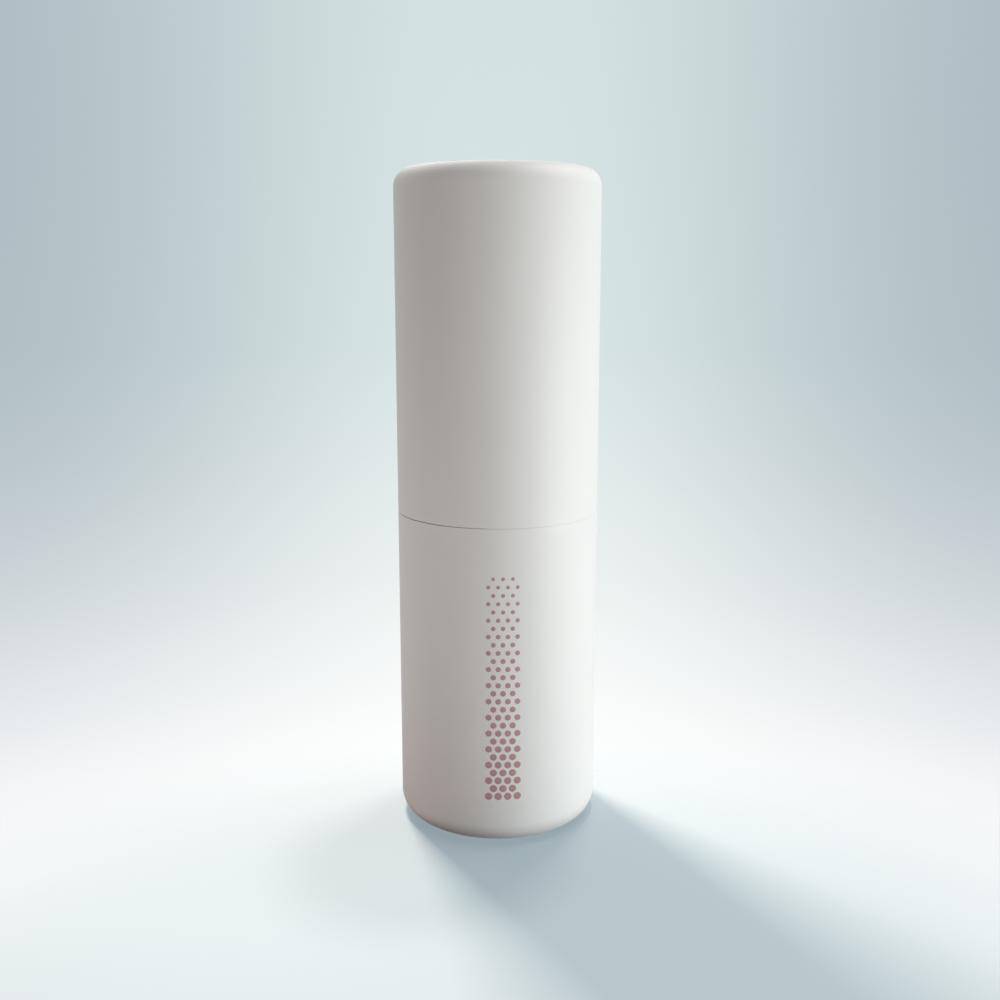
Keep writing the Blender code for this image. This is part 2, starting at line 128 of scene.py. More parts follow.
def rounded(corners):
    """Points of a profile whose (radius, height, round) corners are turned into arcs."""
    points = []
    for i, (radius, height, fillet) in enumerate(corners):
        here = Vector((radius, height))
        if not fillet:
            points.append(here)
            continue
        to_last = Vector(corners[i - 1][:2]) - here
        to_next = Vector(corners[(i + 1) % len(corners)][:2]) - here
        half = to_last.angle(to_next) / 2
        back = fillet / math.tan(half)
        to_last.normalize()
        to_next.normalize()
        centre = here + (to_last + to_next).normalized() * fillet / math.sin(half)
        start = (here + to_last * back - centre).normalized()
        end = (here + to_next * back - centre).normalized()
        steps = ARC_STEPS + int(fillet / LENGTH_PER_STEP)
        points.append(here + to_last * (back + SUPPORT))
        points += [centre + start.slerp(end, k / steps) * fillet for k in range(steps + 1)]
        points.append(here + to_next * (back + SUPPORT))
    return points


def turned(name, corners, segments=MEDIUM, closed=False):
    """A solid of revolution about Z. A profile that isn't closed starts and ends on the axis."""
    shape = bmesh.new()
    points = [shape.verts.new((p.x, 0, p.y)) for p in rounded(corners)]
    edges = [shape.edges.new(pair) for pair in zip(points, points[1:])]
    if closed:
        edges.append(shape.edges.new((points[-1], points[0])))
    bmesh.ops.spin(
        shape,
        geom=points + edges,
        axis=(0, 0, 1),
        angle=FULL_TURN,
        steps=segments,
        use_merge=True,
    )
    bmesh.ops.remove_doubles(shape, verts=shape.verts, dist=WELD)
    bmesh.ops.recalc_face_normals(shape, faces=shape.faces)
    return piece_from(name, shape)


def piece_from(name, shape):
    """An object in the scene from finished mesh work, shaded smooth."""
    mesh = bpy.data.meshes.new(name)
    shape.to_mesh(mesh)
    shape.free()
    mesh.shade_smooth()
    made = bpy.data.objects.new(name, mesh)
    bpy.context.scene.collection.objects.link(made)
    return made


# %% [markdown]
# Standing in for a solid
#
# A fine piece hides the plain solid that it stands for and moves with the same body. The record
# of the part already says which body a node has, so the piece looks it up by the node's name.

# %% Tie a piece to its node
record = frame["record"]
BODY_OF = {node: body for body, nodes in record["behaviour"]["bodies"].items() for node in nodes}


def stand_in(piece, node):
    """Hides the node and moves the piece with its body."""
    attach(piece, BODY_OF[node])
    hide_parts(node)
    print(f"{piece.name}: {len(piece.data.polygons)} faces, stands for {node} on {BODY_OF[node]}")
    return piece


# %% [markdown]
# The base of the case
#
# The base is one moulded cup with a straight wall. Its foot is rounded generously, and under it
# lies a shallow recess, so that the case stands on a clean ring. In the middle of the recess is
# the small dimple where the plastic entered the mould, which every such moulding has. The wall is
# drawn in by the thickness of the print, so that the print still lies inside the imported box.

# %% Turn the base
PRINT_PROUD = 0.012 * MM
CASE_RADIUS = base_high.x - PRINT_PROUD
FOOT_ROUND = 2.3 * MM
INNER_ROUND = 1.2 * MM
RIM_ROUND = 0.022 * MM
SEAM_GAP = 0.046 * MM
RECESS_RADIUS = radii("base_shell", 0, 0)[0]
RECESS_HEIGHT = 0.35 * MM
RECESS_DRAFT = 0.2 * MM
BASE_FLOOR = 1.75 * MM
GATE_RADIUS = 0.8 * MM
GATE_DEPTH = 0.15 * MM

case_base = turned(
    "case_base",
    [
        (0, BASE_FLOOR, 0),
        (WALL_IN, BASE_FLOOR, INNER_ROUND),
        (WALL_IN, SEAM - SEAM_GAP / 2, 2 * RIM_ROUND),
        (CASE_RADIUS, SEAM - SEAM_GAP / 2, RIM_ROUND),
        (CASE_RADIUS, 0, FOOT_ROUND),
        (RECESS_RADIUS, 0, RIM_ROUND),
        (RECESS_RADIUS - RECESS_DRAFT, RECESS_HEIGHT, RIM_ROUND),
        (GATE_RADIUS, RECESS_HEIGHT, RIM_ROUND),
        (GATE_RADIUS - RIM_ROUND, RECESS_HEIGHT + GATE_DEPTH, RIM_ROUND),
        (0, RECESS_HEIGHT + GATE_DEPTH, 0),
    ],
    FINE,
)
stand_in(case_base, "base_shell")

# %% [markdown]
# The cap of the case
#
# The cap has the same wall as the base and meets it in a seam as fine as a hair, so its mouth is
# only just broken. A moulded mouth is never quite flat either: here the seam is open a little on
# the left, where the photograph shows a thin dark line, and nearly closed from the middle to the
# right, where the line is lost. The crown's round is smaller than the foot's. Inside, the roof
# corner is round as well, because plastic doesn't fill a sharp one.

# %% Turn the cap
CROWN_ROUND = 1.9 * MM
CAP_ROOF = 68.5 * MM
SEAM_WARP = 0.039 * MM
WARP_STEEPNESS = 2.2
WARP_AT_THE_MIDDLE = 0.5

case_cap = turned(
    "case_cap",
    [
        (0, CROWN, 0),
        (CASE_RADIUS, CROWN, CROWN_ROUND),
        (CASE_RADIUS, SEAM + SEAM_GAP / 2, RIM_ROUND),
        (WALL_IN, SEAM + SEAM_GAP / 2, 2 * RIM_ROUND),
        (WALL_IN, CAP_ROOF, INNER_ROUND),
        (0, CAP_ROOF, 0),
    ],
    FINE,
)
MOUTH_BAND_TOP = SEAM + SEAM_GAP / 2 + 2 * RIM_ROUND + 1.5 * SUPPORT
for vert in case_cap.data.vertices:
    if vert.co.z < MOUTH_BAND_TOP:
        toward_right = WARP_STEEPNESS * vert.co.x / CASE_RADIUS + WARP_AT_THE_MIDDLE
        vert.co.z -= SEAM_WARP * max(-1, min(toward_right, 1))
stand_in(case_cap, "cap_shell")
widest, narrowest = SEAM_GAP + SEAM_WARP, SEAM_GAP - SEAM_WARP
print(f"seam from {narrowest / MM:.3f} to {widest / MM:.3f} mm wide")

# %% [markdown]
# The print on the base
#
# The lower half carries one upright print in dusty rose ink. Here it is a plain field of dots
# that grow towards the foot. A pad print lies on the plastic as a film about a hundredth of a
# millimetre thick, so each dot is a flat lens, laid out on a plane and then wrapped round the
# wall. Wrapping is simple: the distance along the plane becomes an angle on the cylinder.

# %% Lay out the dots and wrap them
PRINT_BOTTOM = 5.24 * MM
PRINT_TOP = 29.48 * MM
PRINT_TURN = math.radians(-87)
DOT_PITCH = 1.0 * MM
DOT_LARGEST = 0.40 * MM
DOT_SMALLEST = 0.19 * MM
DOT_COLUMNS = 4
ROW_PITCH = DOT_PITCH * math.sin(math.pi / 3)


def lens_mesh():
    """A ball squeezed to the thickness of the ink, one unit across its radius."""
    ball = bmesh.new()
    flat = Matrix.Diagonal((1, PRINT_PROUD, 1, 1))
    bmesh.ops.create_uvsphere(ball, u_segments=24, v_segments=10, radius=1, matrix=flat)
    mesh = bpy.data.meshes.new("lens")
    ball.to_mesh(mesh)
    ball.free()
    return mesh


def add_dot(field, lens_of_ink, across, height, radius):
    """One lens of ink, wrapped onto the case."""
    first = len(field.verts)
    field.from_mesh(lens_of_ink)
    field.verts.ensure_lookup_table()
    for vert in field.verts[first:]:
        angle = PRINT_TURN + (across + vert.co.x * radius) / CASE_RADIUS
        reach = CASE_RADIUS + vert.co.y
        vert.co = (reach * math.cos(angle), reach * math.sin(angle), height + vert.co.z * radius)


def dot_field():
    """Rows of dots, every other row moved half a pitch, smaller from row to row upward."""
    field = bmesh.new()
    lens_of_ink = lens_mesh()
    rows = 1 + int((PRINT_TOP - PRINT_BOTTOM - 2 * DOT_LARGEST) / ROW_PITCH)
    for row in range(rows):
        share = row / (rows - 1)
        radius = DOT_LARGEST + (DOT_SMALLEST - DOT_LARGEST) * share
        height = PRINT_BOTTOM + DOT_LARGEST + row * ROW_PITCH
        columns = DOT_COLUMNS - row % 2
        for column in range(columns):
            across = (column - (columns - 1) / 2) * DOT_PITCH
            add_dot(field, lens_of_ink, across, height, radius)
    print(f"{rows} rows of dots")
    return field


base_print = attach(piece_from("base_print", dot_field()), "base")

# %% [markdown]
# Cutting and joining
#
# Ribs, lugs and slots aren't round about the axis. They are made as small shapes of their own and
# joined to the turned piece, or cut out of it, with Boolean modifiers. The result is kept as a
# plain mesh, and its edges stay crisp where two faces meet at more than thirty degrees.

# %% Join and cut
CRISP = math.radians(30)


def change_by(piece, tools):
    """Applies each (shape, operation) to the piece, in order, and removes the shapes."""
    for tool, operation in tools:
        change = piece.modifiers.new(tool.name, "BOOLEAN")
        change.operation = operation
        change.object = tool
    bpy.context.view_layer.update()
    graph = bpy.context.evaluated_depsgraph_get()
    mesh = bpy.data.meshes.new_from_object(piece.evaluated_get(graph))
    piece.modifiers.clear()
    piece.data = mesh
    mesh.shade_smooth()
    mesh.set_sharp_from_angle(angle=CRISP)
    for tool, operation in tools:
        bpy.data.objects.remove(tool)


# %% [markdown]
# Round-ended bars
#
# A moulded rib has no square ends, because the mould's cutter is round. A sphere gives the shape:
# squeeze it to the rib's depth and width, then lift its upper half. The sphere has an odd number
# of bands, so one band straddles the middle and becomes the straight part. The same lift turns a
# round pin into a slot with round ends.

# %% Ribs round the axis, and pins through it
def lift_upper_half(verts, rise):
    """Moves the points above the middle upward, which draws the middle out."""
    for vert in verts:
        if vert.co.z > 0:
            vert.co.z += rise


def round_bars(name, count, middle, half_depth, half_width, bottom, top):
    """Round-ended upright bars, evenly round the axis."""
    bars = bmesh.new()
    size = Matrix.Diagonal((half_depth, half_width, half_width, 1))
    for i in range(count):
        made = bmesh.ops.create_uvsphere(bars, u_segments=24, v_segments=13, radius=1, matrix=size)
        lift_upper_half(made["verts"], top - bottom - 2 * half_width)
        turn = Matrix.Rotation(FULL_TURN * (i + 0.5) / count, 4, "Z")
        place = turn @ Matrix.Translation((middle, 0, bottom + half_width))
        bmesh.ops.transform(bars, matrix=place, verts=made["verts"])
    return piece_from(name, bars)


def cross_pins(name, radius, inner, outer, height, rise=0.0, turn=0.0):
    """Two round pins, or with a rise two round-ended bars, on opposite sides of the axis."""
    pins = bmesh.new()
    sides = 64
    level = Matrix.Rotation(math.pi / 2, 4, "Y") @ Matrix.Rotation(math.pi / sides, 4, "Z")
    for side in (0, math.pi):
        made = bmesh.ops.create_cone(
            pins,
            cap_ends=True,
            segments=sides,
            radius1=radius,
            radius2=radius,
            depth=outer - inner,
            matrix=level,
        )
        lift_upper_half(made["verts"], rise)
        outward = Matrix.Translation(((inner + outer) / 2, 0, height))
        place = Matrix.Rotation(turn + side, 4, "Z") @ outward
        bmesh.ops.transform(pins, matrix=place, verts=made["verts"])
    return piece_from(name, pins)


# %% [markdown]
# The lining of the base
#
# Behind each white shell sits a thin inner cup, pressed in, because one wall thick enough for both
# jobs would sink as it cooled. The lower lining holds the mechanism: a narrow socket for the tube
# at the bottom, and at its mouth a land that keeps the collar central.

# %% Turn the base lining
lining_low, lining_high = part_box("base_liner")
LINING_OUT = radii("base_liner", lining_high.z, lining_high.z)[1]
LINING_IN = radii("cap_liner", 60 * MM, 67 * MM)[0]
LAND_IN = radii("base_liner", 32.4 * MM, 33.5 * MM)[0]
SOCKET_IN = radii("base_liner", 6 * MM, 8 * MM)[0]
SOCKET_TOP = 9.55 * MM
LAND_LENGTH = 1.2 * MM
LAND_SLOPE = 0.15 * MM
LINING_FLOOR = 1.1 * MM
SMALL_ROUND = 0.09 * MM

base_lining = turned(
    "base_lining",
    [
        (0, lining_low.z + LINING_FLOOR, 0),
        (SOCKET_IN, lining_low.z + LINING_FLOOR, SMALL_ROUND),
        (SOCKET_IN, SOCKET_TOP, SMALL_ROUND),
        (LINING_IN, SOCKET_TOP, SMALL_ROUND),
        (LINING_IN, lining_high.z - LAND_LENGTH - LAND_SLOPE, SMALL_ROUND),
        (LAND_IN, lining_high.z - LAND_LENGTH, SMALL_ROUND),
        (LAND_IN, lining_high.z, SMALL_ROUND),
        (LINING_OUT, lining_high.z, SMALL_ROUND),
        (LINING_OUT, lining_low.z, SMALL_ROUND),
        (0, lining_low.z, 0),
    ],
)
stand_in(base_lining, "base_liner")

# %% [markdown]
# The lining of the cap
#
# The upper lining is what the user feels when the cap goes on: six ribs at its mouth rub on the
# aluminium collar. Its roof stays clear of the tip of the stick, also when that is fully raised.

# %% Turn the cap lining and join its grip ribs
cap_lining_low, cap_lining_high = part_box("cap_liner")
GRIP_RIBS = 6
GRIP_RIB_TIP = radii("cap_liner", 35 * MM, 42 * MM)[0]
GRIP_RIB_DEPTH = 0.32 * MM
GRIP_RIB_HALF = 0.4 * MM
GRIP_RIB_BOTTOM = cap_lining_low.z + 0.8 * MM
GRIP_RIB_TOP = GRIP_RIB_BOTTOM + 6.0 * MM
ROOF_THICKNESS = 0.9 * MM
ROOF_CORNER = 0.65 * MM

cap_lining = turned(
    "cap_lining",
    [
        (0, cap_lining_high.z, 0),
        (LINING_OUT, cap_lining_high.z, INNER_ROUND),
        (LINING_OUT, cap_lining_low.z, SMALL_ROUND),
        (LINING_IN, cap_lining_low.z, 2 * SMALL_ROUND),
        (LINING_IN, cap_lining_high.z - ROOF_THICKNESS, ROOF_CORNER),
        (0, cap_lining_high.z - ROOF_THICKNESS, 0),
    ],
)
grips = round_bars(
    "grips",
    GRIP_RIBS,
    GRIP_RIB_TIP + GRIP_RIB_DEPTH,
    GRIP_RIB_DEPTH,
    GRIP_RIB_HALF,
    GRIP_RIB_BOTTOM,
    GRIP_RIB_TOP,
)
change_by(cap_lining, [(grips, "UNION")])
stand_in(cap_lining, "cap_liner")

# %% [markdown]
# The slotted tube
#
# The tube stands still in the base. Its boss is held by twelve splines, its two upright slots
# guide the lugs of the cup, and a small flange at the top keeps it in the collar. Each slot is a
# round pin drawn out upward by the travel of the stick. The record gives that: the full turn of
# the collar, times how far the stick rises with each radian of it, to the nearest micrometre.

# %% Turn the tube and cut its slots
tube_low, tube_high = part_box("slotted_tube")
TUBE_IN = 6.75 * MM
TUBE_OUT = 7.45 * MM
FLANGE_OUT = radii("slotted_tube", tube_high.z - 0.1 * MM, tube_high.z)[1]
FLANGE_THICKNESS = 0.5 * MM
BOSS_OUT = 8.3 * MM
BOSS_HEIGHT = 2.8 * MM
TUBE_FLOOR = 1.15 * MM
SPLINES = 12
SPLINE_DEPTH = 0.35 * MM
SPLINE_HALF = 0.45 * MM
SPLINE_SINK = 0.1 * MM
SPLINE_SETBACK = 0.4 * MM
LUG_RADIUS = 1.1 * MM
SLOT_CLEARANCE = 0.15 * MM
LUG_HEIGHT = 12.62 * MM

joints = {joint["name"]: joint for joint in record["behaviour"]["joints"]}
COLLAR_TURN = math.radians(joints["collar_twist"]["range_deg"][1])
TRAVEL = round(COLLAR_TURN * record["behaviour"]["couplings"][0]["ratio"], 6)
print(f"the stick rises {TRAVEL / MM:.2f} mm in {COLLAR_TURN / FULL_TURN:.1f} turns")

inner_tube = turned(
    "inner_tube",
    [
        (0, tube_low.z + TUBE_FLOOR, 0),
        (TUBE_IN, tube_low.z + TUBE_FLOOR, SMALL_ROUND),
        (TUBE_IN, tube_high.z, 2 * SMALL_ROUND),
        (FLANGE_OUT, tube_high.z, SMALL_ROUND),
        (FLANGE_OUT, tube_high.z - FLANGE_THICKNESS, SMALL_ROUND),
        (TUBE_OUT, tube_high.z - FLANGE_THICKNESS, SMALL_ROUND),
        (TUBE_OUT, tube_low.z + BOSS_HEIGHT, SMALL_ROUND),
        (BOSS_OUT, tube_low.z + BOSS_HEIGHT, SMALL_ROUND),
        (BOSS_OUT, tube_low.z, SMALL_ROUND),
        (0, tube_low.z, 0),
    ],
)
splines = round_bars(
    "splines",
    SPLINES,
    BOSS_OUT - SPLINE_SINK,
    SPLINE_DEPTH,
    SPLINE_HALF,
    tube_low.z + SPLINE_SETBACK,
    tube_low.z + BOSS_HEIGHT - SPLINE_SETBACK,
)
guides = cross_pins(
    "guides",
    LUG_RADIUS + SLOT_CLEARANCE,
    TUBE_IN / 2,
    BOSS_OUT + SPLINE_DEPTH,
    LUG_HEIGHT,
    TRAVEL,
)
change_by(inner_tube, [(splines, "UNION"), (guides, "DIFFERENCE")])
stand_in(inner_tube, "slotted_tube")

# %% [markdown]
# The cup
#
# The cup carries the stick. Six low ribs bite into the balm, a hole in the floor lets the air out
# when it is poured or pushed in, and two lugs reach out through the slots of the tube into the
# helical slots of the cam.

# %% Turn the cup and join its ribs and lugs
cup_low, cup_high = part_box("carrier_cup")
CUP_IN = 6.2 * MM
CUP_OUT = 6.6 * MM
CUP_FLOOR = 0.9 * MM
CUP_VENT = 1.4 * MM
CUP_RIBS = 6
CUP_RIB_TIP = 6.0 * MM
CUP_RIB_DEPTH = 0.25 * MM
CUP_RIB_HALF = 0.3 * MM
CUP_RIB_SETBACK = 0.8 * MM
LUG_TIP = cup_high.x

lift_cup = turned(
    "lift_cup",
    [
        (CUP_IN, cup_high.z, SMALL_ROUND),
        (CUP_OUT, cup_high.z, SMALL_ROUND),
        (CUP_OUT, cup_low.z, 2 * SMALL_ROUND),
        (CUP_VENT, cup_low.z, SMALL_ROUND),
        (CUP_VENT, cup_low.z + CUP_FLOOR, SMALL_ROUND),
        (CUP_IN, cup_low.z + CUP_FLOOR, SMALL_ROUND),
    ],
    closed=True,
)
cup_ribs = round_bars(
    "cup_ribs",
    CUP_RIBS,
    CUP_RIB_TIP + CUP_RIB_DEPTH,
    CUP_RIB_DEPTH,
    CUP_RIB_HALF,
    cup_low.z + CUP_FLOOR / 2,
    cup_high.z - CUP_RIB_SETBACK,
)
lugs = cross_pins("lugs", LUG_RADIUS, (CUP_IN + CUP_OUT) / 2, LUG_TIP, LUG_HEIGHT)
change_by(lift_cup, [(cup_ribs, "UNION"), (lugs, "UNION")])
stand_in(lift_cup, "carrier_cup")

# %% [markdown]
# The cam
#
# The cam turns with the collar. Its two slots climb one and a half turns, so that turning it lifts
# the lugs. A rectangle swept round and up cuts each slot, and a round pocket at either end lets
# the lug settle there with a light click.

# %% Sweep the cam's slots
cam_low, cam_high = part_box("cam_sleeve")
CAM_IN = 7.6 * MM
CAM_OUT = 8.45 * MM
STEPS_PER_TURN = 80
POCKET_RELIEF = 0.12 * MM
CUTTER_MARGIN = 0.4 * MM


def helical_bar(name, inner, outer, thickness, start, height):
    """A rectangle swept round by the collar's turn while it climbs by the travel."""
    bar = bmesh.new()
    size = Matrix.Diagonal((outer - inner, thickness, 1, 1))
    upright = Matrix.Rotation(math.pi / 2, 4, "X") @ size
    place = Matrix.Translation(((inner + outer) / 2, 0, height)) @ upright
    turn = Matrix.Rotation(start, 4, "Z")
    bmesh.ops.create_grid(bar, x_segments=1, y_segments=1, size=0.5, matrix=turn @ place)
    steps = round(STEPS_PER_TURN * COLLAR_TURN / FULL_TURN)
    bmesh.ops.spin(
        bar,
        geom=bar.faces[:] + bar.edges[:] + bar.verts[:],
        axis=(0, 0, 1),
        angle=COLLAR_TURN,
        dvec=(0, 0, TRAVEL / steps),
        steps=steps,
    )
    bmesh.ops.recalc_face_normals(bar, faces=bar.faces)
    return piece_from(name, bar)


twist_cam = turned(
    "twist_cam",
    [
        (CAM_IN, cam_high.z, SMALL_ROUND),
        (CAM_OUT, cam_high.z, SMALL_ROUND),
        (CAM_OUT, cam_low.z, SMALL_ROUND),
        (CAM_IN, cam_low.z, SMALL_ROUND),
    ],
    closed=True,
)
slot_half = LUG_RADIUS + SLOT_CLEARANCE
pocket = slot_half + POCKET_RELIEF
climb = math.atan(TRAVEL / (COLLAR_TURN * CAM_IN))
slot_height = 2 * slot_half / math.cos(climb)
through = (CAM_IN - CUTTER_MARGIN, CAM_OUT + CUTTER_MARGIN)
cuts = [
    helical_bar("helix_1", *through, slot_height, 0, LUG_HEIGHT),
    helical_bar("helix_2", *through, slot_height, math.pi, LUG_HEIGHT),
    cross_pins("low_pockets", pocket, *through, LUG_HEIGHT),
    cross_pins("high_pockets", pocket, *through, LUG_HEIGHT + TRAVEL, turn=COLLAR_TURN),
]
change_by(twist_cam, [(cut, "DIFFERENCE") for cut in cuts])
stand_in(twist_cam, "cam_sleeve")

# %% [markdown]
# The collar
#
# The collar is the one metal part that shows: a sleeve drawn from thin aluminium sheet, pressed
# over the cam, with its top edge turned in as a lip. Its outer edge is round and the inner edge
# of the lip is a full round of half the sheet's thickness, because sheet can't be drawn sharp.

# %% Turn the collar
collar_low, collar_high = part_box("collar_sleeve")
COLLAR_IN = 8.55 * MM
COLLAR_OUT = 8.90 * MM
SHEET = COLLAR_OUT - COLLAR_IN
LIP_IN = 6.85 * MM
LIP_ROUND = 0.49 * SHEET
SHOULDER_ROUND = 0.30 * MM
SHEET_ROUND = 0.06 * MM

collar = turned(
    "collar",
    [
        (LIP_IN, collar_high.z, LIP_ROUND),
        (COLLAR_OUT, collar_high.z, SHOULDER_ROUND),
        (COLLAR_OUT, collar_low.z, SHEET_ROUND),
        (COLLAR_IN, collar_low.z, SHEET_ROUND),
        (COLLAR_IN, collar_high.z - SHEET, SHEET_ROUND),
        (LIP_IN, collar_high.z - SHEET, LIP_ROUND),
    ],
    FINE,
    closed=True,
)
stand_in(collar, "collar_sleeve")

# %% [markdown]
# The ring and the weight
#
# Two parts are never seen in use. A silicone ring under the cam gives the twist its smooth drag,
# and a steel slug in the foot makes the light case feel solid. Both are plain turned shapes: the
# ring's section is a full round, and the slug's lower edge follows the round of the shell's floor.

# %% Turn the ring and the weight
ring_low, ring_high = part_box("drag_ring")
RING_MIDDLE = (CAM_IN + CAM_OUT) / 2
RING_HALF = 0.35 * MM
RING_ROUND = 0.98 * RING_HALF
ring_centre = (ring_low.z + ring_high.z) / 2

twist_ring = turned(
    "twist_ring",
    [
        (RING_MIDDLE - RING_HALF, ring_centre + RING_HALF, RING_ROUND),
        (RING_MIDDLE + RING_HALF, ring_centre + RING_HALF, RING_ROUND),
        (RING_MIDDLE + RING_HALF, ring_centre - RING_HALF, RING_ROUND),
        (RING_MIDDLE - RING_HALF, ring_centre - RING_HALF, RING_ROUND),
    ],
    closed=True,
)
stand_in(twist_ring, "drag_ring")

slug_low, slug_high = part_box("base_weight")
SLUG_BORE = 2.0 * MM
SLUG_GAP = 0.15 * MM
SLUG_OUT = WALL_IN - SLUG_GAP
SLUG_ROUND = 0.12 * MM

foot_slug = turned(
    "foot_slug",
    [
        (SLUG_BORE, slug_high.z, SLUG_ROUND),
        (SLUG_OUT, slug_high.z, SLUG_ROUND),
        (SLUG_OUT, slug_low.z + INNER_ROUND, SLUG_ROUND),
        (SLUG_OUT - INNER_ROUND, slug_low.z, SLUG_ROUND),
        (SLUG_BORE, slug_low.z, SLUG_ROUND),
    ],
    closed=True,
)
stand_in(foot_slug, "base_weight")

# %% [markdown]
# The stick
#
# The balm is moulded with a domed end that one slope cuts, so that a fresh stick glides flat on
# the cheek. The tip is made as a height over every point of the disc: the lower of dome and slope,
# blended where they meet, because wax has no sharp crest. The rim falls away in a small round.

# %% Shape the stick
stick_low, stick_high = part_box("highlighter_stick")
STICK_RADIUS = 5.9 * MM
DOME_HEIGHT = 4.0 * MM
CREST_WIDTH = 1.2 * MM
SLOPE = math.radians(42)
CREST_BLEND = 0.35 * MM
RIM_EDGE = 0.25 * MM
STICK_CHAMFER = 0.4 * MM
SHOULDER_DROP = 0.3 * MM
TIP_RINGS = 44


def blended_low(a, b, width):
    """The lower of two heights, with a soft change from one to the other."""
    share = min(max(0.5 + 0.5 * (b - a) / width, 0), 1)
    return b + (a - b) * share - width * share * (1 - share)


def tip_height(reach, y):
    """Height of the stick's end over a point of its disc."""
    level = math.sqrt(max(1 - (reach / STICK_RADIUS) ** 2, 0))
    dome = stick_high.z - DOME_HEIGHT * (1 - level)
    slope = stick_high.z + (y + CREST_WIDTH / 2) * math.tan(SLOPE)
    into_rim = max(reach - STICK_RADIUS + RIM_EDGE, 0)
    fall = RIM_EDGE - math.sqrt(max(RIM_EDGE**2 - into_rim**2, 0))
    return blended_low(dome, slope, CREST_BLEND) - fall


def stick_shape():
    """Rings of points from the crest over the tip, down the wall and across the lower end."""
    shape = bmesh.new()
    angles = [FULL_TURN * i / MEDIUM for i in range(MEDIUM)]
    rings = []
    for k in range(1, TIP_RINGS + 1):
        reach = STICK_RADIUS * math.sin(math.pi / 2 * k / TIP_RINGS)
        flat = [(reach * math.cos(a), reach * math.sin(a)) for a in angles]
        rings.append([(x, y, tip_height(reach, y)) for x, y in flat])
    shoulder = min(z for x, y, z in rings[-1])
    walls = (
        (STICK_RADIUS, shoulder - SHOULDER_DROP),
        (STICK_RADIUS, stick_low.z + STICK_CHAMFER),
        (STICK_RADIUS - STICK_CHAMFER, stick_low.z),
    )
    rings += [[(r * math.cos(a), r * math.sin(a), z) for a in angles] for r, z in walls]
    made = [[shape.verts.new(point) for point in ring] for ring in rings]
    top = shape.verts.new((0, 0, tip_height(0, 0)))
    for i in range(MEDIUM):
        j = (i + 1) % MEDIUM
        shape.faces.new((top, made[0][i], made[0][j]))
        for upper, lower in zip(made, made[1:]):
            shape.faces.new((upper[i], lower[i], lower[j], upper[j]))
    shape.faces.new(reversed(made[-1]))
    bmesh.ops.recalc_face_normals(shape, faces=shape.faces)
    return shape


balm_stick = piece_from("balm_stick", stick_shape())
balm_stick.data.set_sharp_from_angle(angle=CRISP)
stand_in(balm_stick, "highlighter_stick")

# %% [markdown]
# Writing shader maths as Python
#
# A finish here is a formula: a base value plus a little noise, more of it near an edge. Building
# that from Math nodes by hand hides the formula. The small class below holds one socket of a node
# tree and answers plus, minus, times and divide by adding the Math node that does it. The first
# three also work with the number in front, so 1 - mask reads as it should. Any other node comes
# from its method add.

# %% A wire that does arithmetic
class Wire:
    """One output socket of a shader tree."""

    def __init__(self, tree, socket=None):
        self.tree = tree
        self.socket = socket

    def add(self, kind, settings, sockets, output=0):
        """Adds a node, sets it up, fills or links its sockets, and gives one of its outputs."""
        node = self.tree.nodes.new(kind)
        for name, value in settings.items():
            setattr(node, name, value)
        for name, value in sockets.items():
            if isinstance(value, Wire):
                self.tree.links.new(value.socket, node.inputs[name])
            else:
                node.inputs[name].default_value = value
        return Wire(self.tree, node.outputs[output])

    def maths(self, operation, first, second):
        """One Math node on two values, each a wire or a number."""
        return self.add("ShaderNodeMath", {"operation": operation}, {0: first, 1: second})

    def __add__(self, other):
        return self.maths("ADD", self, other)

    def __radd__(self, other):
        return self.maths("ADD", other, self)

    def __sub__(self, other):
        return self.maths("SUBTRACT", self, other)

    def __rsub__(self, other):
        return self.maths("SUBTRACT", other, self)

    def __mul__(self, other):
        return self.maths("MULTIPLY", self, other)

    def __rmul__(self, other):
        return self.maths("MULTIPLY", other, self)

    def __truediv__(self, other):
        return self.maths("DIVIDE", self, other)

    def __abs__(self):
        return self.maths("ABSOLUTE", self, 0)


# %% [markdown]
# A few words for finishes
#
# Every finish below needs the same few things: the place on the piece, a way to draw a pattern
# out into lines, a distance, noise and cells of a given size, a soft step from 0 to 1, a blend of
# two colours and a bump. Each gets a short name. Sizes are in metres, so a pattern is asked for by
# the size of its cells.

# %% Places, noise, steps, blends and bumps
ORIGIN = (0, 0, 0)
# The Mix node's colours go by number, because several of its sockets share a name.
COLOUR_A, COLOUR_B, COLOUR_OUT = 6, 7, 2


def place_on(tree):
    """The point of the surface, in metres, as a vector."""
    return Wire(tree).add("ShaderNodeTexCoord", {}, {}, "Object")


def parts_of(vector):
    """X, Y and Z of a vector."""
    node = vector.add("ShaderNodeSeparateXYZ", {}, {"Vector": vector}).socket.node
    return [Wire(vector.tree, socket) for socket in node.outputs]


def scaled(place, factors):
    """The place with X, Y and Z multiplied. A small factor draws a pattern out that way."""
    return place.add("ShaderNodeVectorMath", {"operation": "MULTIPLY"}, {0: place, 1: factors})


def distance_to(point, place):
    """How far the place is from a point."""
    ends = {0: place, 1: point}
    return place.add("ShaderNodeVectorMath", {"operation": "DISTANCE"}, ends, "Value")


def noise(place, cell, detail=2.0):
    """Cloudy noise from 0 to 1, whose cells are about the given size."""
    sockets = {"Vector": place, "Scale": 1 / cell, "Detail": detail}
    return place.add("ShaderNodeTexNoise", {}, sockets)


def cells(place, cell):
    """A pattern of cells of about the given size, each with a random colour of its own."""
    return place.add("ShaderNodeTexVoronoi", {}, {"Vector": place, "Scale": 1 / cell}, "Color")


